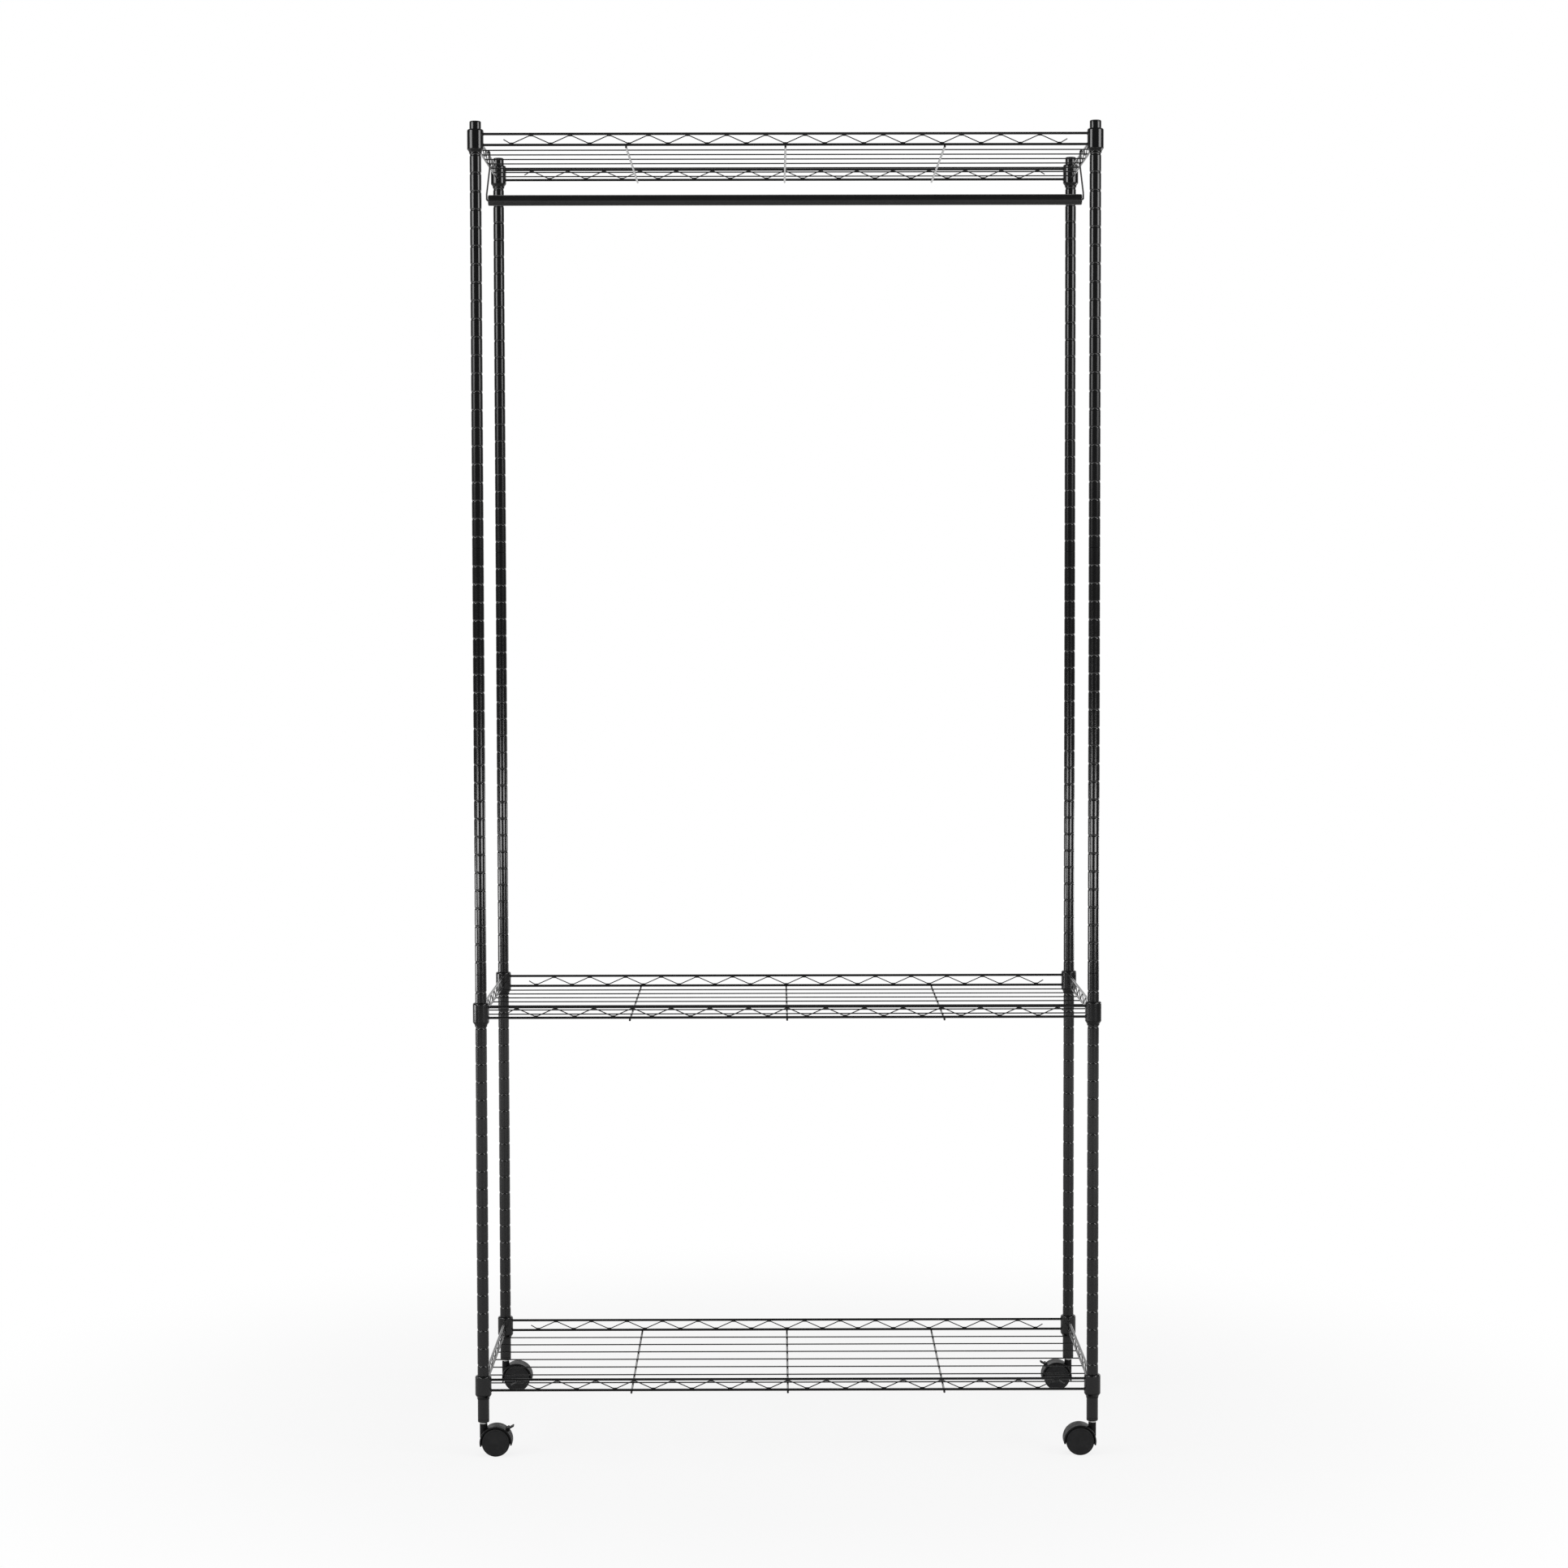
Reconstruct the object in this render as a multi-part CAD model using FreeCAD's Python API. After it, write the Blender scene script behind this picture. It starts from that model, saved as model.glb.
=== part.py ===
import FreeCAD, Part
import math
import os

# Open garment rack: four grooved posts, three wire shelves, a hanging rod under the top shelf
# and four twin-wheel swivel casters. Millimetres, +Z up. The origin is on the floor under the
# middle of the rack, X runs along the rack and Y from its front to its rear.

# Layout of the posts, centre to centre
post_spacing_x = 868.0
post_spacing_y = 416.0

# Post tubes: three sections screwed end to end, with a ring groove every inch
post_diameter = 16.4
post_wall = 1.2
upper_section = 594.0
middle_section = 602.0
lower_section = 637.0
tube_chamfer = 0.4
groove_pitch = 25.4
groove_width = 3.8
groove_depth = 0.6
groove_below_joint = 25.4
groove_below_cap = 19.4
plain_above_joint = 12.0
plain_above_foot = 50.0

# Fittings inside the tubes
insert_clearance = 0.05
stud_length = 60.0
stud_chamfer = 1.0
cap_height = 2.6
cap_rim_radius = 2.0
cap_spigot = 12.0
foot_flange = 4.0
foot_rim_radius = 1.8
foot_spigot = 34.0

# Split sleeves that lock in a groove, and the shelf collars that seat on them
sleeve_clearance = 0.05
sleeve_wall_top = 1.5
sleeve_wall_bottom = 2.1
sleeve_split_angle = 3.0
sleeve_under_lip = 0.3
skirt_height = 7.0
skirt_wall = 0.6
skirt_lip = 0.8
skirt_lip_radius = 1.6
skirt_band = 2.2
skirt_band_radius = 2.5
collar_wall = 1.2
collar_height = 27.0
collar_above_groove = 10.7
collar_lip = 1.5
collar_lip_gap = 0.4
collar_shoulder_radius = 2.8

# Shelf wires
weld_gap = 0.05
rail_diameter = 3.6
rail_below_collar_top = 6.7
rail_spacing = 15.2
truss_wire_diameter = 1.5
truss_pitch = 54.8
truss_flat = 5.0
truss_bend_radius = 3.0
truss_tail = 11.0
truss_end_room = 40.0
cross_wire_diameter = 3.0
cross_wire_pitch = 223.0
cross_wire_overhang = 2.5
deck_wire_diameter = 1.8
deck_wire_spacing = 52.0

# Which groove of its section carries each shelf, counted down from the section's top
top_shelf_groove = 0
middle_shelf_groove = 1

# Hanging rod on two wire hooks over the upper side rails of the top shelf
rod_diameter = 15.6
rod_wall = 1.0
rod_end_inset = 0.5
rod_below_rail = 68.6
rod_behind_middle = 4.0
plug_flange = 3.0
plug_rim_radius = 1.5
plug_spigot = 16.0
hook_diameter = 2.5
hook_clearance = 0.05
hook_free_end = 5.0
hook_below_rail = 6.0
hook_leg = 9.0
hook_foot = 12.0
hook_bend_radius = 3.5
hook_foot_bend_radius = 2.0
hook_leg_gap = 0.1

# Casters: stem, swivelling hood, axle and two wheels
wheel_radius = 20.0
wheel_width = 10.0
wheel_rim = 3.0
wheel_disc = 3.0
wheel_hub_radius = 5.0
wheel_edge_radius = 1.8
wheel_dish_radius = 17.2
wheel_dish_depth = 0.35
wheel_side_gap = 0.5
axle_diameter = 5.0
axle_seat_clearance = 0.02
axle_in_wheel = 7.0
axle_end_gap = 0.3
running_clearance = 0.06
caster_trail = 18.0
hood_clearance = 0.8
hood_wall = 2.2
hood_edge = 0.5
hood_corner_radius = 1.0
hood_web = 8.0
hood_web_below_axle = 3.0
hood_hub_radius = 6.5
horn_angle_at_stem = 14.0
horn_angle_at_tail = 9.5
post_above_hood = 4.0
neck_diameter = 11.0
neck_floor = 1.6
neck_corner_radius = 0.8
stem_pin_diameter = 5.5
stem_pin_length = 18.0
stem_pin_end_gap = 0.3
stem_shank_diameter = 8.0
stem_shank_length = 30.0
stem_flange_diameter = 10.5
stem_flange = 1.8
swivel_gap = 0.3

# Brake lever between two ears on the hood
lever_angle = 46.0
lever_rise = 29.0
lever_pivot_height = 2.0
lever_width = 9.0
lever_length = 9.0
lever_thickness = 2.2
lever_hub_radius = 2.3
lever_side_gap = 0.2
lever_round_gap = 0.35
trunnion_radius = 1.2
ear_radius = 2.6
ear_width = 2.2

Vector = FreeCAD.Vector
X_AXIS = Vector(1, 0, 0)
Y_AXIS = Vector(0, 1, 0)
Z_AXIS = Vector(0, 0, 1)
ORIGIN = Vector(0, 0, 0)
TOLERANCE = 1e-6

# Heights that follow from the sizes above
half_x = post_spacing_x / 2
half_y = post_spacing_y / 2
post_radius = post_diameter / 2
post_bore = post_radius - post_wall
hood_inner_radius = wheel_radius + hood_clearance
hood_radius = hood_inner_radius + hood_wall
foot_z = wheel_radius + hood_radius + post_above_hood
lower_z = foot_z + foot_flange
middle_z = lower_z + lower_section
upper_z = middle_z + middle_section
cap_z = upper_z + upper_section

# Groove counts of the sections, and the heights of the grooves that carry the shelves
upper_grooves = 1 + int((upper_section - groove_below_cap - plain_above_joint) / groove_pitch)
middle_grooves = 1 + int((middle_section - groove_below_joint - plain_above_joint) / groove_pitch)
lower_grooves = 1 + int((lower_section - groove_below_joint - plain_above_foot) / groove_pitch)
lower_top_groove_z = middle_z - groove_below_joint
top_shelf_z = cap_z - groove_below_cap - top_shelf_groove * groove_pitch
middle_shelf_z = lower_top_groove_z - middle_shelf_groove * groove_pitch
bottom_shelf_z = lower_top_groove_z - (lower_grooves - 1) * groove_pitch

# Arc of the groove section, centred outside the tube
groove_arc_radius = ((groove_width / 2) ** 2 + groove_depth ** 2) / (2 * groove_depth)
groove_arc_centre = post_radius - groove_depth + groove_arc_radius

# Sleeve and collar radii, and their heights above the seat groove
sleeve_bore = post_radius + sleeve_clearance
sleeve_radius_top = sleeve_bore + sleeve_wall_top
sleeve_radius_bottom = sleeve_bore + sleeve_wall_bottom
collar_radius = sleeve_radius_bottom + sleeve_clearance + collar_wall
collar_top = collar_above_groove
collar_bottom = collar_top - collar_height

# Wire heights above the seat groove
rail_radius = rail_diameter / 2
upper_rail = collar_top - rail_below_collar_top
lower_rail = upper_rail - rail_spacing
cross_radius = cross_wire_diameter / 2
cross_wire = lower_rail - rail_radius - weld_gap - cross_radius
deck_radius = deck_wire_diameter / 2
deck_wire = cross_wire + cross_radius + weld_gap + deck_radius

# The rod reaches almost from post centre to post centre
rod_length = post_spacing_x - 2 * rod_end_inset

# Caster places, measured from the stem axis at floor level
axle_z = wheel_radius
neck_top = foot_z - stem_flange - swivel_gap
wheel_inner_face = hood_web / 2 + wheel_side_gap
hood_half_width = wheel_inner_face + wheel_width + hood_edge
lever_pivot_radius = hood_radius + lever_pivot_height


def rounded_edges(corners, closed):
    """Edges along (point, radius) corners, with a tangent arc at each corner that has a radius."""
    count = len(corners)
    pieces = []
    for index, (point, radius) in enumerate(corners):
        is_end = not closed and index in (0, count - 1)
        if is_end or radius == 0:
            pieces.append((point, None, point))
            continue
        before = (corners[index - 1][0] - point).normalize()
        after = (corners[(index + 1) % count][0] - point).normalize()
        half_angle = before.getAngle(after) / 2
        bisector = (before + after).normalize()
        setback = radius / math.tan(half_angle)
        middle = point + bisector * (radius / math.sin(half_angle) - radius)
        pieces.append((point + before * setback, middle, point + after * setback))
    edges = []
    for index, (start, middle, end) in enumerate(pieces):
        if middle is not None:
            edges.append(Part.Arc(start, middle, end).toShape())
        is_last = index == count - 1
        following = pieces[(index + 1) % count][0]
        if (closed or not is_last) and end.distanceToPoint(following) > TOLERANCE:
            edges.append(Part.makeLine(end, following))
    return edges


def outline_face(outline):
    """Face in the XZ plane inside a closed outline of (x, z) or (x, z, corner radius)."""
    corners = [(Vector(c[0], 0, c[1]), c[2] if len(c) > 2 else 0) for c in outline]
    return Part.Face(Part.Wire(rounded_edges(corners, True)))


def turned(outline):
    """Solid of revolution about Z from a closed (radius, z) outline."""
    return outline_face(outline).revolve(ORIGIN, Z_AXIS, 360)


def bent_wire(corners, diameter):
    """Round wire along a path of (point, bend radius) corners."""
    path = Part.Wire(rounded_edges(corners, False))
    start = path.OrderedEdges[0]
    tangent = start.tangentAt(start.FirstParameter)
    section = Part.Wire(Part.makeCircle(diameter / 2, corners[0][0], tangent))
    return path.makePipeShell([section], True, False)


def straight_wire(start, end, diameter):
    """Round wire between two points, with flat ends."""
    direction = end - start
    return Part.makeCylinder(diameter / 2, direction.Length, start, direction)


def bar_along_y(radius, width, x, z):
    """Cylinder with its axis along Y, centred on the XZ plane."""
    return Part.makeCylinder(radius, width, Vector(x, -width / 2, z), Y_AXIS)


def extruded(face, y_from, y_to):
    """Solid from a face in the XZ plane, between two Y values."""
    moved = face.translated(Vector(0, y_from, 0))
    return moved.extrude(Vector(0, y_to - y_from, 0))


def polar(radius, degrees):
    """Point in the XZ plane at an angle above the X axis."""
    angle = math.radians(degrees)
    return Vector(radius * math.cos(angle), 0, radius * math.sin(angle))


def post_section(length, groove_below_top, grooves):
    """Tube that stands on z = 0, with rounded ring grooves counted down from its top."""
    half_width = groove_width / 2
    valley = post_radius - groove_depth
    edges = []
    last = Vector(post_bore, 0, 0)
    chamfer_start = Vector(post_radius - tube_chamfer, 0, 0)
    chamfer_end = Vector(post_radius, 0, tube_chamfer)
    for point in (chamfer_start, chamfer_end):
        edges.append(Part.makeLine(last, point))
        last = point
    for index in reversed(range(grooves)):
        z = length - groove_below_top - index * groove_pitch
        start = Vector(post_radius, 0, z - half_width)
        end = Vector(post_radius, 0, z + half_width)
        edges.append(Part.makeLine(last, start))
        edges.append(Part.Arc(start, Vector(valley, 0, z), end).toShape())
        last = end
    top_corners = (
        Vector(post_radius, 0, length - tube_chamfer),
        Vector(post_radius - tube_chamfer, 0, length),
        Vector(post_bore, 0, length),
        Vector(post_bore, 0, 0),
    )
    for point in top_corners:
        edges.append(Part.makeLine(last, point))
        last = point
    return Part.Face(Part.Wire(edges)).revolve(ORIGIN, Z_AXIS, 360)


def joint_stud():
    """Plug that joins two tube sections, centred on their joint at z = 0."""
    radius = post_bore - insert_clearance
    half = stud_length / 2
    neck = radius - stud_chamfer
    return turned([(0, -half), (neck, -half), (radius, stud_chamfer - half),
                   (radius, half - stud_chamfer), (neck, half), (0, half)])


def top_cap():
    """Cap with a rounded rim on the tube end at z = 0, held by a spigot in the bore."""
    spigot = post_bore - insert_clearance
    return turned([(0, -cap_spigot), (spigot, -cap_spigot), (spigot, 0), (post_radius, 0),
                   (post_radius, cap_height, cap_rim_radius), (0, cap_height)])


def foot_insert():
    """Socket for a caster stem: a flange under the tube end at z = 0 and a body in the bore."""
    hole = stem_shank_diameter / 2 + insert_clearance
    body = post_bore - insert_clearance
    return turned([(hole, -foot_flange), (post_radius, -foot_flange, foot_rim_radius),
                   (post_radius, 0), (body, 0), (body, foot_spigot), (hole, foot_spigot)])


def half_sleeve():
    """Half of a split sleeve on the +Y side, with its bead in the groove at z = 0."""
    bead_arc = groove_arc_radius - sleeve_clearance
    bead_tip = groove_arc_centre - bead_arc
    bead_half = math.sqrt(bead_arc ** 2 - (groove_arc_centre - sleeve_bore) ** 2)
    top = collar_top - collar_lip - sleeve_under_lip
    bottom = collar_bottom - skirt_height
    skirt_radius = sleeve_bore + skirt_wall
    bead_top = Vector(sleeve_bore, 0, bead_half)
    bead_bottom = Vector(sleeve_bore, 0, -bead_half)
    corners = [
        (bead_top, 0),
        (Vector(sleeve_bore, 0, top), 0),
        (Vector(sleeve_radius_top, 0, top), 0),
        (Vector(sleeve_radius_bottom, 0, collar_bottom), 0),
        (Vector(collar_radius, 0, collar_bottom), 0),
        (Vector(collar_radius, 0, collar_bottom - skirt_lip), skirt_lip_radius),
        (Vector(skirt_radius, 0, bottom + skirt_band), skirt_band_radius),
        (Vector(skirt_radius, 0, bottom), 0),
        (Vector(sleeve_bore, 0, bottom), 0),
        (bead_bottom, 0),
    ]
    edges = rounded_edges(corners, False)
    edges.append(Part.Arc(bead_bottom, Vector(bead_tip, 0, 0), bead_top).toShape())
    half = Part.Face(Part.Wire(edges)).revolve(ORIGIN, Z_AXIS, 180 - sleeve_split_angle)
    half.rotate(ORIGIN, Z_AXIS, sleeve_split_angle / 2)
    return half


def collar():
    """Corner collar of a shelf round its sleeve, with the seat groove at z = 0."""
    lip_radius = post_radius + collar_lip_gap
    cone_top = sleeve_radius_top + sleeve_clearance
    cone_bottom = sleeve_radius_bottom + sleeve_clearance
    under_lip = collar_top - collar_lip
    return turned([(lip_radius, collar_top), (collar_radius, collar_top, collar_shoulder_radius),
                   (collar_radius, collar_bottom), (cone_bottom, collar_bottom),
                   (cone_top, under_lip), (lip_radius, under_lip)])


def truss(span):
    """Zigzag wire along X between the two rails of one side, first welded to the lower rail."""
    rise = (rail_spacing - rail_diameter - truss_wire_diameter) / 2 - weld_gap
    middle = (upper_rail + lower_rail) / 2
    periods = int((span - 2 * truss_end_room) / truss_pitch)
    half_pitch = truss_pitch / 2
    start = -periods * half_pitch
    corners = [(Vector(start - truss_tail, 0, middle), 0)]
    for index in range(2 * periods + 1):
        x = start + index * half_pitch
        z = middle - rise if index % 2 == 0 else middle + rise
        corners.append((Vector(x - truss_flat / 2, 0, z), truss_bend_radius))
        corners.append((Vector(x + truss_flat / 2, 0, z), truss_bend_radius))
    corners.append((Vector(-start + truss_tail, 0, middle), 0))
    return bent_wire(corners, truss_wire_diameter)


def shelf_rails():
    """Upper and lower rails of the four sides, running from collar to collar."""
    reach_x = half_x - collar_radius
    reach_y = half_y - collar_radius
    wires = []
    for z in (upper_rail, lower_rail):
        for side in (-1, 1):
            y = side * half_y
            x = side * half_x
            wires.append(straight_wire(Vector(-reach_x, y, z), Vector(reach_x, y, z), rail_diameter))
            wires.append(straight_wire(Vector(x, -reach_y, z), Vector(x, reach_y, z), rail_diameter))
    return wires


def shelf_trusses():
    """Zigzag wires of the four sides; the rear one is turned over, so that it starts at the top."""
    front = truss(post_spacing_x)
    rear = front.copy()
    rear.rotate(Vector(0, 0, (upper_rail + lower_rail) / 2), X_AXIS, 180)
    front.translate(Vector(0, -half_y, 0))
    rear.translate(Vector(0, half_y, 0))
    wires = [front, rear]
    for x in (-half_x, half_x):
        side = truss(post_spacing_y)
        side.rotate(ORIGIN, Z_AXIS, 90)
        side.translate(Vector(x, 0, 0))
        wires.append(side)
    return wires


def shelf_cross_wires():
    """Three bearers from front to rear, welded under the lower rails."""
    reach = half_y + cross_wire_overhang
    return [straight_wire(Vector(x, -reach, cross_wire), Vector(x, reach, cross_wire), cross_wire_diameter)
            for x in (-cross_wire_pitch, 0, cross_wire_pitch)]


def shelf_deck_wires():
    """Long deck wires on the bearers, butted against the lower rails of the two ends."""
    reach = half_x - rail_radius - weld_gap
    gaps = round(post_spacing_y / deck_wire_spacing)
    step = post_spacing_y / gaps
    wires = []
    for index in range(1, gaps):
        y = index * step - half_y
        start = Vector(-reach, y, deck_wire)
        wires.append(straight_wire(start, Vector(reach, y, deck_wire), deck_wire_diameter))
    return wires


def at_posts(shape, z):
    """Copies of a shape at the four posts."""
    return [shape.translated(Vector(x, y, z)) for x in (-half_x, half_x) for y in (-half_y, half_y)]


def shelf_sleeves():
    """Two half sleeves at each post."""
    rear_half = half_sleeve()
    front_half = rear_half.copy()
    front_half.rotate(ORIGIN, Z_AXIS, 180)
    return at_posts(rear_half, 0) + at_posts(front_half, 0)


def rod_plug():
    """Plug in the right end of the rod, its outer face at x = 0 and a hole for the hook's foot."""
    hole = hook_diameter / 2 + hook_clearance
    spigot = rod_diameter / 2 - rod_wall - insert_clearance
    rim = rod_diameter / 2
    plug = turned([(hole, 0), (rim, 0, plug_rim_radius), (rim, plug_flange), (spigot, plug_flange),
                   (spigot, plug_flange + plug_spigot), (hole, plug_flange + plug_spigot)])
    plug.rotate(ORIGIN, Y_AXIS, -90)
    return plug


def rod_hook(rod_z, rail_z):
    """Right-hand hook over the upper side rail, down inside the rails and into the rod's end plug."""
    wrap = rail_radius + hook_clearance + hook_diameter / 2
    inside = half_x - wrap
    leg = rod_length / 2 + hook_leg_gap + hook_foot_bend_radius
    below_rails = rail_z - rail_spacing - hook_below_rail
    path = [
        (half_x + wrap, rail_z - hook_free_end, 0),
        (half_x + wrap, rail_z + wrap, wrap),
        (inside, rail_z + wrap, wrap),
        (inside, below_rails, hook_bend_radius),
        (leg, rod_z + hook_leg, hook_bend_radius),
        (leg, rod_z, hook_foot_bend_radius),
        (leg - hook_foot, rod_z, 0),
    ]
    corners = [(Vector(x, rod_behind_middle, z), radius) for x, z, radius in path]
    return bent_wire(corners, hook_diameter)


def mirrored_x(shape):
    """Left-hand copy of a shape."""
    return shape.mirror(ORIGIN, X_AXIS)


def caster_stem():
    """Stem with a shank in the post's socket, a flange under it and a swivel pin in the hood's neck."""
    pin = stem_pin_diameter / 2
    flange = stem_flange_diameter / 2
    shank = stem_shank_diameter / 2
    flange_bottom = foot_z - stem_flange
    return turned([(0, neck_top - stem_pin_length), (pin, neck_top - stem_pin_length), (pin, flange_bottom),
                   (flange, flange_bottom), (flange, foot_z), (shank, foot_z),
                   (shank, foot_z + stem_shank_length), (0, foot_z + stem_shank_length)])


def caster_wheel():
    """Hollow wheel on the +Y side: rim, outer disc and hub with a blind bore for the axle."""
    bore = axle_diameter / 2 + running_clearance
    bore_end = axle_in_wheel + axle_end_gap
    pocket = wheel_width - wheel_disc
    dish = wheel_width - wheel_dish_depth
    wheel = turned([(bore, 0), (wheel_hub_radius, 0), (wheel_hub_radius, pocket),
                    (wheel_radius - wheel_rim, pocket), (wheel_radius - wheel_rim, 0), (wheel_radius, 0),
                    (wheel_radius, wheel_width, wheel_edge_radius), (wheel_dish_radius, wheel_width),
                    (wheel_dish_radius - wheel_dish_depth, dish), (0, dish), (0, bore_end), (bore, bore_end)])
    wheel.rotate(ORIGIN, X_AXIS, -90)
    wheel.translate(Vector(caster_trail, wheel_inner_face, axle_z))
    return wheel


def caster_axle():
    """Axle pin through the hood's web into both wheels."""
    length = 2 * (wheel_inner_face + axle_in_wheel)
    return bar_along_y(axle_diameter / 2, length, caster_trail, axle_z)


def hood_band():
    """Fender over both wheels, a rounded strip swept round the axle from horn to horn."""
    strip = outline_face([(hood_inner_radius, -hood_half_width),
                          (hood_radius, -hood_half_width, hood_corner_radius),
                          (hood_radius, hood_half_width, hood_corner_radius),
                          (hood_inner_radius, hood_half_width)])
    band = strip.revolve(ORIGIN, Z_AXIS, 180 + horn_angle_at_stem + horn_angle_at_tail)
    band.rotate(ORIGIN, X_AXIS, 90)
    band.rotate(ORIGIN, Y_AXIS, horn_angle_at_tail)
    return band


def hood_web_plate():
    """Web between the wheels: the upper disc inside the fender, and a hub round the axle."""
    middle_of_band = hood_inner_radius + hood_wall / 2
    disc = bar_along_y(middle_of_band, hood_web, 0, 0)
    size = 2 * hood_radius
    corner = Vector(-hood_radius, -hood_radius, -hood_web_below_axle)
    upper = disc.common(Part.makeBox(size, size, size, corner))
    return upper.fuse(bar_along_y(hood_hub_radius, hood_web, 0, 0))


def lever_ears():
    """Two ears on the hood that hold the brake lever's trunnions."""
    root = -(lever_pivot_height + hood_wall / 2)
    face = outline_face([(-ear_radius, root), (ear_radius, root), (ear_radius, ear_radius, ear_radius),
                         (-ear_radius, ear_radius, ear_radius)])
    inner = lever_width / 2 + lever_side_gap
    ears = []
    for y_from in (inner, -inner - ear_width):
        ear = extruded(face, y_from, y_from + ear_width)
        ear.rotate(ORIGIN, Y_AXIS, 90 - lever_angle)
        ear.translate(polar(lever_pivot_radius, lever_angle))
        ears.append(ear)
    return ears


def caster_hood(with_brake):
    """Swivelling body of a caster: fender, web, stem neck and, with a brake, the lever's ears."""
    neck_bottom = neck_top - stem_pin_length - stem_pin_end_gap - neck_floor
    neck = turned([(0, neck_bottom), (neck_diameter / 2, neck_bottom),
                   (neck_diameter / 2, neck_top, neck_corner_radius), (0, neck_top)])
    at_axle = Vector(caster_trail, 0, axle_z)
    for side in (-1, 1):
        y = side * (hood_web / 2 + hood_half_width)
        pocket = bar_along_y(hood_inner_radius, 2 * hood_half_width, caster_trail, axle_z)
        neck = neck.cut(pocket.translated(Vector(0, y, 0)))
    parts = [hood_web_plate().translated(at_axle), neck]
    if with_brake:
        parts += [ear.translated(at_axle) for ear in lever_ears()]
    hood = hood_band().translated(at_axle).fuse(parts).removeSplitter()
    bore_depth = stem_pin_length + stem_pin_end_gap
    stem_bore = stem_pin_diameter / 2 + running_clearance
    cuts = [
        Part.makeCylinder(stem_bore, bore_depth, Vector(0, 0, neck_top - bore_depth)),
        bar_along_y(axle_diameter / 2 + axle_seat_clearance, hood_web, caster_trail, axle_z),
    ]
    if with_brake:
        pivot = polar(lever_pivot_radius, lever_angle) + at_axle
        ear_span = lever_width + 2 * (lever_side_gap + ear_width)
        cuts.append(bar_along_y(trunnion_radius + running_clearance, ear_span, pivot.x, pivot.z))
        room = lever_hub_radius + lever_round_gap
        cuts.append(bar_along_y(room, lever_width + 2 * lever_side_gap, pivot.x, pivot.z))
    for tool in cuts:
        hood = hood.cut(tool)
    return hood


def brake_lever():
    """Rocker with a hub and trunnions on the pivot, and a rounded pad that stands up when released."""
    half = lever_thickness / 2
    arm_face = outline_face([(0, -half), (lever_length, -half, half), (lever_length, half, half), (0, half)])
    arm = extruded(arm_face, -lever_width / 2, lever_width / 2)
    arm.rotate(ORIGIN, Y_AXIS, -lever_rise)
    hub = bar_along_y(lever_hub_radius, lever_width, 0, 0)
    trunnions = bar_along_y(trunnion_radius, lever_width + 2 * (lever_side_gap + ear_width), 0, 0)
    lever = arm.fuse([hub, trunnions]).removeSplitter()
    lever.translate(polar(lever_pivot_radius, lever_angle) + Vector(caster_trail, 0, axle_z))
    return lever


def export(node, shapes):
    """Write one node: a single solid, or a group of separate solids."""
    shape = shapes[0] if len(shapes) == 1 else Part.makeCompound(shapes)
    shape.exportStep(f"parts/{node}.step")


def build_posts():
    """Tube sections, joint studs, top caps and foot inserts of the four posts."""
    sections = {
        "upper": (post_section(upper_section, groove_below_cap, upper_grooves), upper_z),
        "middle": (post_section(middle_section, groove_below_joint, middle_grooves), middle_z),
        "lower": (post_section(lower_section, groove_below_joint, lower_grooves), lower_z),
    }
    for corner, (x, y, _) in corners_of_rack.items():
        for level, (tube, z) in sections.items():
            export(f"post_{corner}_{level}", [tube.translated(Vector(x, y, z))])
    export("post_joint_studs", at_posts(joint_stud(), middle_z) + at_posts(joint_stud(), upper_z))
    export("post_top_caps", at_posts(top_cap(), cap_z))
    export("post_foot_inserts", at_posts(foot_insert(), lower_z))


def build_shelves():
    """Three equal shelves; the top one is turned end for end."""
    pieces = {
        "rails": shelf_rails(),
        "trusses": shelf_trusses(),
        "cross_wires": shelf_cross_wires(),
        "deck_wires": shelf_deck_wires(),
        "collars": at_posts(collar(), 0),
        "sleeves": shelf_sleeves(),
    }
    levels = {"top": (top_shelf_z, 0), "middle": (middle_shelf_z, 180), "bottom": (bottom_shelf_z, 180)}
    for level, (z, turn) in levels.items():
        for piece, shapes in pieces.items():
            placed = []
            for shape in shapes:
                moved = shape.copy()
                moved.rotate(ORIGIN, Z_AXIS, turn)
                moved.translate(Vector(0, 0, z))
                placed.append(moved)
            export(f"{level}_shelf_{piece}", placed)


def build_rod():
    """Hanging rod with its end plugs and hooks."""
    rail_z = top_shelf_z + upper_rail
    rod_z = rail_z - rod_below_rail
    half_tube = rod_length / 2 - plug_flange
    start = Vector(-half_tube, rod_behind_middle, rod_z)
    tube = Part.makeCylinder(rod_diameter / 2, 2 * half_tube, start, X_AXIS)
    bore = Part.makeCylinder(rod_diameter / 2 - rod_wall, 2 * half_tube, start, X_AXIS)
    export("hanging_rod", [tube.cut(bore)])
    plug = rod_plug().translated(Vector(rod_length / 2, rod_behind_middle, rod_z))
    export("rod_end_plugs", [plug, mirrored_x(plug)])
    hook = rod_hook(rod_z, rail_z)
    export("rod_hook_right", [hook])
    export("rod_hook_left", [mirrored_x(hook)])


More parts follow.
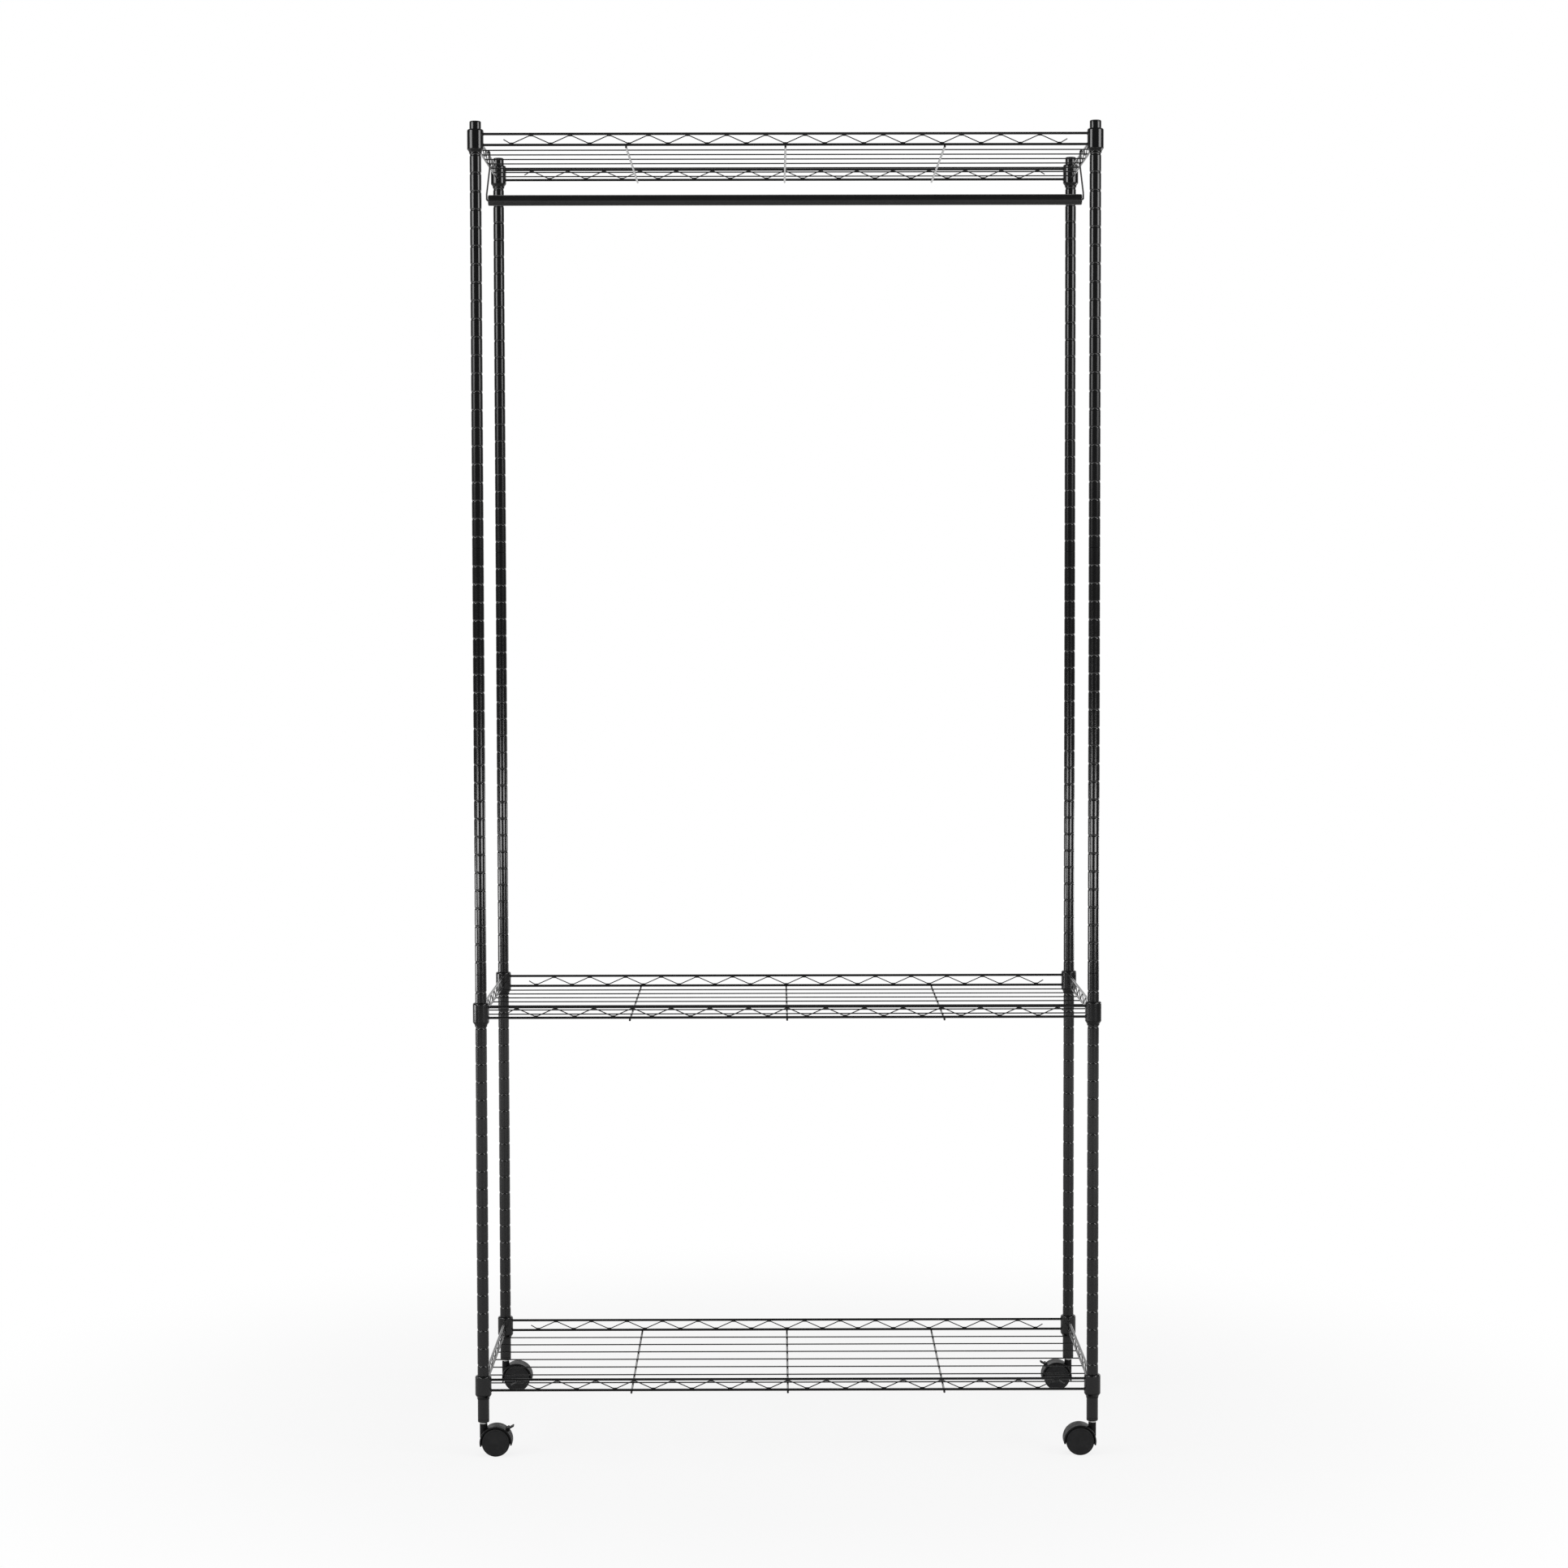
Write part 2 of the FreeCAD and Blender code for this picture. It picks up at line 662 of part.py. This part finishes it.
def build_casters():
    """Four casters that trail towards the middle of the rack, two of them with a brake."""
    rear_wheel = caster_wheel()
    front_wheel = rear_wheel.copy()
    front_wheel.rotate(Vector(caster_trail, 0, axle_z), Z_AXIS, 180)
    for corner, (x, y, turn) in corners_of_rack.items():
        braked = corner in braked_corners
        near = front_wheel if turn == 0 else rear_wheel
        far = rear_wheel if turn == 0 else front_wheel
        pieces = {
            "stem": caster_stem(),
            "hood": caster_hood(braked),
            "axle": caster_axle(),
            "wheel_front": near,
            "wheel_rear": far,
        }
        if braked:
            pieces["brake_lever"] = brake_lever()
        for piece, shape in pieces.items():
            moved = shape.copy()
            moved.rotate(ORIGIN, Z_AXIS, turn)
            moved.translate(Vector(x, y, 0))
            export(f"caster_{corner}_{piece}", [moved])


# Place of each post, and the turn of its caster about the stem
corners_of_rack = {
    "front_left": (-half_x, -half_y, 0),
    "front_right": (half_x, -half_y, 180),
    "rear_left": (-half_x, half_y, 0),
    "rear_right": (half_x, half_y, 180),
}
braked_corners = ("front_left", "rear_right")

os.makedirs("parts", exist_ok=True)
build_posts()
build_shelves()
build_rod()
build_casters()
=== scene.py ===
import math

import bmesh
import bpy
from mathutils import Matrix, Vector


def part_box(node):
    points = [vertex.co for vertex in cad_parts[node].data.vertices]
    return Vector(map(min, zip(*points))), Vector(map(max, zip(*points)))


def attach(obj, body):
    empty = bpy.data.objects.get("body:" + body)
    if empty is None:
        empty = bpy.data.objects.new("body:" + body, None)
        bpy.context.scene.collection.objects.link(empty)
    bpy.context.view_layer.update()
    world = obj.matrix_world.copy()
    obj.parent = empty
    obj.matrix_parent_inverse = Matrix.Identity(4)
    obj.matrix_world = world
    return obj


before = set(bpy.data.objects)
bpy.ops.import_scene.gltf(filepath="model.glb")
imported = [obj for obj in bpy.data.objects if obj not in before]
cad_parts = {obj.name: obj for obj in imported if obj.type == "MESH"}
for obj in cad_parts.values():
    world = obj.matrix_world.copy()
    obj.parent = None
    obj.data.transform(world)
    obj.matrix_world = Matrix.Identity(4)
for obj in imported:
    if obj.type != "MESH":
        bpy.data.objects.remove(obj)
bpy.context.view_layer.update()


# Posts: steel tubes in three screwed sections, rolled with a ring groove every inch and
# coated in gloss black powder coat, which shows a faint orange peel and a little dust.
corners = ("front_left", "front_right", "rear_left", "rear_right")
post_levels = ("upper", "middle", "lower")
coat_black, coat_grey = (0.003, 0.003, 0.0032), (0.006, 0.006, 0.0063)
coat_ior = 1.48
patch_size, patch_tint = 0.045, 0.6
speck_size, speck_from, speck_to = 0.0011, 0.74, 0.80
speck_tint, speck_dullness = 0.4, 0.25
peel_size, peel_depth = 0.0022, 0.0004


class Shade:
    """A value in a finish's node tree. Arithmetic on it adds Math nodes."""

    def __init__(self, tree, socket=None):
        self.tree = tree
        self.socket = socket

    def add(self, kind, settings=None, inputs=None, output=0):
        """Add one node: its settings come first, then its sockets' values or links."""
        node = self.tree.nodes.new(kind)
        for name, value in (settings or {}).items():
            setattr(node, name, value)
        for name, value in (inputs or {}).items():
            if isinstance(value, Shade):
                self.tree.links.new(value.socket, node.inputs[name])
            else:
                node.inputs[name].default_value = value
        return Shade(self.tree, node.outputs[output])

    def math(self, operation, first, second):
        return self.add("ShaderNodeMath", {"operation": operation}, {0: first, 1: second})

    def __add__(self, other):
        return self.math("ADD", self, other)

    def __mul__(self, other):
        return self.math("MULTIPLY", self, other)

    __radd__ = __add__
    __rmul__ = __mul__


def finish(name, even):
    """New material with its even values set on the shader; gives it, the shader and the place."""
    material = bpy.data.materials.new(name)
    material.use_nodes = True
    shader = material.node_tree.nodes["Principled BSDF"]
    for socket, value in even.items():
        shader.inputs[socket].default_value = value
    place = Shade(material.node_tree).add("ShaderNodeTexCoord", output="Object")
    return material, shader, place


def feed(shader, **values):
    """Link shades to the shader's sockets; underscores stand for spaces."""
    for name, value in values.items():
        value.tree.links.new(value.socket, shader.inputs[name.replace("_", " ")])


def noise(place, size, detail=2.0, roughness=0.5):
    """Soft noise with features of about that size, in metres."""
    sockets = {"Vector": place, "Scale": 1 / size, "Detail": detail, "Roughness": roughness}
    return place.add("ShaderNodeTexNoise", {"noise_dimensions": "3D"}, sockets, "Fac")


def blend(mask, dark, light):
    """Colour between two by a mask. Inputs 6 and 7 and output 2 are the Mix node's colours."""
    return mask.add("ShaderNodeMix", {"data_type": "RGBA"},
                    {"Factor": mask, 6: (*dark, 1), 7: (*light, 1)}, 2)


def relief(height, strength, depth):
    """Bumped normal from a height."""
    return height.add("ShaderNodeBump", {},
                      {"Height": height, "Strength": strength, "Distance": depth})


def steps(value, low, high):
    """Clamped ramp of a value from 0 at low to 1 at high."""
    return value.add("ShaderNodeMapRange", {"interpolation_type": "SMOOTHSTEP"},
                     {"Value": value, "From Min": low, "From Max": high})


def powder_coat(name, smooth, rough, peel):
    """Black powder coat: orange peel, patches of slightly duller film and specks of dust."""
    material, shader, place = finish(name, {"IOR": coat_ior})
    patches = noise(place, patch_size, detail=3.0)
    specks = steps(noise(place, speck_size, detail=1.0), speck_from, speck_to)
    dullness = patches * (rough - smooth) + smooth
    feed(shader,
         Base_Color=blend(patches * patch_tint + specks * speck_tint, coat_black, coat_grey),
         Roughness=dullness + specks * speck_dullness,
         Normal=relief(noise(place, peel_size, detail=1.5), peel, peel_depth))
    return material


def dress(names, material):
    """Give CAD nodes their finish."""
    for name in names:
        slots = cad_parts[name].data.materials
        slots.clear()
        slots.append(material)


post_coat = powder_coat("post_powder_coat", smooth=0.12, rough=0.18, peel=0.012)
dress([f"post_{corner}_{level}" for corner in corners for level in post_levels], post_coat)


# Joint studs, top caps and foot inserts: bright turned studs inside the tube joints, and
# moulded black plastic plugs that close the post tops and hold the caster stems below.
plastic_ior = 1.46
rub_size, rub_from, rub_to = 0.012, 0.35, 0.75
grain_size, grain_depth = 0.0007, 0.0002
steel_grey, steel_bright = (0.52, 0.52, 0.51), (0.70, 0.70, 0.69)
ring_size, ring_relief, ring_depth = 0.0005, 0.12, 0.0002
ring_stretch = (0.06, 0.06, 1.0)
haze_size = 0.004


def moulded_plastic(name, dark, light, smooth, rough, grain, shine=0.5):
    """Moulded plastic with a fine spark-eroded grain and soft rub marks."""
    material, shader, place = finish(name, {"IOR": plastic_ior, "Specular IOR Level": shine})
    rubs = steps(noise(place, rub_size, detail=4.0, roughness=0.6), rub_from, rub_to)
    texture = noise(place, grain_size, detail=2.0, roughness=0.6)
    feed(shader, Base_Color=blend(rubs, dark, light),
         Roughness=rubs * (smooth - rough) + rough,
         Normal=relief(texture, grain, grain_depth))
    return material


def bright_steel(name, smooth, rough):
    """Plated steel with faint turning rings and a thin haze."""
    material, shader, place = finish(name, {"Metallic": 1.0})
    stretched = place.add("ShaderNodeMapping", {}, {"Vector": place, "Scale": ring_stretch})
    rings = noise(stretched, ring_size, detail=2.0)
    haze = noise(place, haze_size, detail=3.0)
    feed(shader, Base_Color=blend(haze, steel_grey, steel_bright),
         Roughness=haze * (rough - smooth) + smooth,
         Normal=relief(rings, ring_relief, ring_depth))
    return material


dress(["post_joint_studs"], bright_steel("stud_steel", smooth=0.28, rough=0.42))
cap_plastic = moulded_plastic("cap_plastic", (0.004, 0.004, 0.004), (0.008, 0.008, 0.008),
                              smooth=0.16, rough=0.24, grain=0.012)
dress(["post_top_caps", "post_foot_inserts"], cap_plastic)


# Shelf wires: drawn steel rails, zigzag trusses, bearers and deck wires, spot welded into a
# tray and powder coated black together with the collars.
shelves = ("top", "middle", "bottom")
shelf_coat = powder_coat("shelf_powder_coat", smooth=0.10, rough=0.16, peel=0.012)
wire_groups = ("rails", "trusses", "cross_wires", "deck_wires", "collars")
dress([f"{shelf}_shelf_{group}" for shelf in shelves for group in wire_groups], shelf_coat)


# Weld beads: small flattened lumps that resistance welding leaves where the wires of a shelf
# touch each other and where the rails meet the collars, coated together with the wires.
rail_radius = 0.0018
truss_step = 0.0274
long_truss_bends = range(-14, 15)
side_truss_bends = range(-6, 7)
cross_places = (-0.223, 0, 0.223)
deck_step = 0.052
deck_places = [index * deck_step for index in range(-3, 4)]
bead_proud = 0.0005
bead_around, bead_rings = 8, 5
bead_sizes = {"truss": (0.0034, 0.0011, 0.0011), "deck": (0.0013, 0.0011, 0.0007),
              "deck_end": (0.0010, 0.0012, 0.0011), "cross_end": (0.0016, 0.0016, 0.0007),
              "collar": (0.0010, 0.0024, 0.0024)}


def bead(shape, kind, place, across=False):
    """Lump of weld metal at a place, long in X, or in Y where it goes across."""
    x, y, z = bead_sizes[kind]
    size = Matrix.Diagonal((y, x, z, 1) if across else (x, y, z, 1))
    bmesh.ops.create_uvsphere(shape, u_segments=bead_around, v_segments=bead_rings, radius=1.0,
                              matrix=Matrix.Translation(place) @ size)


def shelf_welds(shelf):
    """All beads of one shelf as one piece, placed by the shelf's own rails and deck wires."""
    low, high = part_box(f"{shelf}_shelf_rails")
    lower, upper = low[2] + rail_radius, high[2] - rail_radius
    half_x, half_y = high[0] - rail_radius, high[1] - rail_radius
    collar_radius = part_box(f"{shelf}_shelf_collars")[1][0] - half_x
    deck_low, deck_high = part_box(f"{shelf}_shelf_deck_wires")
    deck_middle = (deck_low[2] + deck_high[2]) / 2
    on_lower = lower + rail_radius + bead_proud
    under_upper = upper - rail_radius - bead_proud
    end_x, end_y = half_x - collar_radius, half_y - collar_radius
    shape = bmesh.new()
    for side in (-1, 1):
        # One long truss starts from the other rail: the top shelf's rear one, else the front one.
        turned_over = side == (1 if shelf == "top" else -1)
        for index in long_truss_bends:
            height = on_lower if (index % 2 == 0) != turned_over else under_upper
            bead(shape, "truss", (index * truss_step, side * half_y, height))
        for index in side_truss_bends:
            height = on_lower if index % 2 == 0 else under_upper
            bead(shape, "truss", (side * half_x, index * truss_step, height), across=True)
        for x in cross_places:
            bead(shape, "cross_end", (x, side * half_y, lower - rail_radius))
        for y in deck_places:
            bead(shape, "deck_end", (side * deck_high[0], y, deck_middle))
        for rail in (lower, upper):
            for end in (-1, 1):
                bead(shape, "collar", (end * end_x, side * half_y, rail))
                bead(shape, "collar", (side * half_x, end * end_y, rail), across=True)
    for x in cross_places:
        for y in deck_places:
            bead(shape, "deck", (x, y, deck_low[2]))
    mesh = bpy.data.meshes.new(f"{shelf}_shelf_welds")
    shape.to_mesh(mesh)
    shape.free()
    mesh.shade_smooth()
    mesh.materials.append(shelf_coat)
    piece = bpy.data.objects.new(f"{shelf}_shelf_welds", mesh)
    bpy.context.scene.collection.objects.link(piece)
    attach(piece, "rack")


for shelf in shelves:
    shelf_welds(shelf)


# Split sleeves: two black plastic halves under each collar, clipped round the post with a bead
# in its groove. Only the flared skirt shows below the collar.
sleeve_plastic = moulded_plastic("sleeve_plastic", (0.002, 0.002, 0.002), (0.004, 0.004, 0.004),
                                 smooth=0.14, rough=0.22, grain=0.012, shine=0.3)
dress([f"{shelf}_shelf_sleeves" for shelf in shelves], sleeve_plastic)


# Hanging rod: a satin black tube with moulded plugs in its ends, held by two coated wire
# hooks that go over the upper side rails of the top shelf.
dress(["hanging_rod"], powder_coat("rod_satin_coat", smooth=0.28, rough=0.38, peel=0.02))
dress(["rod_end_plugs"], cap_plastic)
dress(["rod_hook_left", "rod_hook_right"], shelf_coat)


# Casters: plated steel stems and axles, charcoal moulded hoods with twin nylon wheels, and a
# rocking brake lever on two of them.
stem_steel = bright_steel("stem_steel", smooth=0.18, rough=0.32)
hood_plastic = moulded_plastic("hood_plastic", (0.003, 0.003, 0.0033), (0.006, 0.006, 0.0065),
                               smooth=0.36, rough=0.50, grain=0.08, shine=0.16)
wheel_plastic = moulded_plastic("wheel_plastic", (0.006, 0.006, 0.0065), (0.011, 0.011, 0.0115),
                                smooth=0.42, rough=0.58, grain=0.08, shine=0.3)
for corner in corners:
    dress([f"caster_{corner}_stem", f"caster_{corner}_axle"], stem_steel)
    dress([f"caster_{corner}_hood"], hood_plastic)
    dress([f"caster_{corner}_wheel_front", f"caster_{corner}_wheel_rear"], wheel_plastic)
dress(["caster_front_left_brake_lever", "caster_rear_right_brake_lever"], hood_plastic)


# Studio floor: a wide pale paper sheet on which the rack stands. It runs out into the white of
# the background, to the eye near the rack and in reflections farther off, and keeps the soft
# shadow under the casters.
floor_radius, floor_sides = 5.0, 96
white_from, white_to = 0.5, 1.5
mirrored_from, mirrored_to = 2.2, 3.4
near_white = 0.84
paper_dark, paper_light, paper_patch = (0.59, 0.59, 0.59), (0.62, 0.62, 0.62), 0.4


def ray_kind(tree, kind):
    """1 where a ray is of that kind, as Light Path names it, and 0 elsewhere."""
    return Shade(tree).add("ShaderNodeLightPath", output=kind)


floor_mesh = bpy.data.meshes.new("floor")
floor_shape = bmesh.new()
bmesh.ops.create_circle(floor_shape, cap_ends=True, segments=floor_sides, radius=floor_radius)
floor_shape.to_mesh(floor_mesh)
floor_shape.free()
floor = bpy.data.objects.new("floor", floor_mesh)
bpy.context.scene.collection.objects.link(floor)
floor_paper, paper, on_floor = finish("floor_paper", {"Roughness": 0.9, "Specular IOR Level": 0.1})
feed(paper, Base_Color=blend(noise(on_floor, paper_patch), paper_dark, paper_light))
tree = floor_paper.node_tree
distance = on_floor.add("ShaderNodeVectorMath", {"operation": "LENGTH"}, {0: on_floor}, "Value")
run_out = steps(distance, white_from, white_to)
seen = ray_kind(tree, "Is Camera Ray") + ray_kind(tree, "Is Transmission Ray")
mirrored = steps(distance, mirrored_from, mirrored_to) * ray_kind(tree, "Is Glossy Ray")
white_share = (run_out * (1 - near_white) + near_white) * seen + mirrored
glow = on_floor.add("ShaderNodeEmission", {}, {"Color": (1, 1, 1, 1), "Strength": 1.0})
lit_paper = Shade(tree, paper.outputs["BSDF"])
mixed = on_floor.add("ShaderNodeMixShader", {}, {0: white_share, 1: lit_paper, 2: glow})
tree.links.new(mixed.socket, tree.nodes["Material Output"].inputs["Surface"])
floor_mesh.materials.append(floor_paper)


# Studio light: a tall softbox to each side whose light falls off towards its lower edge, low
# strips before and behind the rack and low boxes beside it, which draw the posts' stripes, and
# a broad overhead that only softens the shadows. The room is white behind and dark elsewhere.
behind_from, behind_to = 0.45, 0.85
diffuse_room = 0.25
dark_room = 0.12


def softbox(name, degrees, away, height, aim, size, radiance, fall=None, in_gloss=True):
    """Area lamp that far from the rack's middle, by its angle from the camera's side, turned to
    a height on the rack's axis. Its face shows the radiance; fall gives the heights between
    which its light comes up."""
    angle = math.radians(degrees)
    place = Vector((away * math.sin(angle), -away * math.cos(angle), height))
    width, tall = size
    lamp = bpy.data.lights.new(name, "AREA")
    lamp.shape = "RECTANGLE"
    lamp.size = width
    lamp.size_y = tall
    lamp.energy = radiance * math.pi * width * tall
    if fall:
        lamp.use_nodes = True
        emitter = lamp.node_tree
        spot = Shade(emitter).add("ShaderNodeNewGeometry", output="Position")
        level = steps(spot.add("ShaderNodeSeparateXYZ", {}, {"Vector": spot}, "Z"), *fall)
        emitter.links.new(level.socket, emitter.nodes["Emission"].inputs["Strength"])
    item = bpy.data.objects.new(name, lamp)
    bpy.context.scene.collection.objects.link(item)
    item.location = place
    item.rotation_euler = (Vector((0, 0, aim)) - place).to_track_quat("-Z", "Y").to_euler()
    item.visible_camera = False
    item.visible_glossy = in_gloss


for side in (-1, 1):
    softbox("side_box", side * 61, away=3.2, height=2.25, aim=2.25, size=(1.8, 1.9), radiance=6.5,
            fall=(1.3, 2.1))
    softbox("low_strip", side * 37, away=3.0, height=0.68, aim=0.68, size=(1.5, 0.26), radiance=13)
    softbox("back_strip", side * 140, away=3.0, height=0.55, aim=0.6, size=(0.5, 0.4), radiance=1.8)
softbox("left_low_box", -85, away=3.0, height=0.49, aim=0.49, size=(1.4, 0.3), radiance=12)
softbox("right_low_box", 118, away=3.0, height=0.59, aim=0.59, size=(1.4, 0.3), radiance=7)
softbox("overhead", 0, away=0, height=4.2, aim=0, size=(4, 4), radiance=1.4, in_gloss=False)

world = bpy.data.worlds.new("studio")
world.use_nodes = True
bpy.context.scene.world = world
room = world.node_tree
sky = Shade(room).add("ShaderNodeTexCoord", output="Generated")
behind = steps(sky.add("ShaderNodeSeparateXYZ", {}, {"Vector": sky}, "Y"), behind_from, behind_to)
white = ray_kind(room, "Is Camera Ray") + ray_kind(room, "Is Transmission Ray")
white = white + ray_kind(room, "Is Glossy Ray") * behind
white = white + ray_kind(room, "Is Diffuse Ray") * diffuse_room
room_light = sky.add("ShaderNodeMath", {"operation": "MAXIMUM"}, {0: white, 1: dark_room})
room.links.new(room_light.socket, room.nodes["Background"].inputs["Strength"])
room.nodes["Background"].inputs["Color"].default_value = (1, 1, 1, 1)
bpy.context.scene.view_settings.view_transform = "Standard"


# Camera: a long lens 1.2 m above the floor and 5.2 m from the rack's middle, almost square to
# the front and tipped down by three degrees.
tipped_down, rolled, turned = 2.995, 0.115, -0.156
camera_data = bpy.data.cameras.new("camera")
camera_data.sensor_width = 36.0
camera_data.lens = 81.16
camera = bpy.data.objects.new("camera", camera_data)
camera.location = (-0.0169, -5.1957, 1.2181)
camera.rotation_euler = [math.radians(angle) for angle in (90 - tipped_down, rolled, turned)]
bpy.context.scene.collection.objects.link(camera)
bpy.context.scene.camera = camera
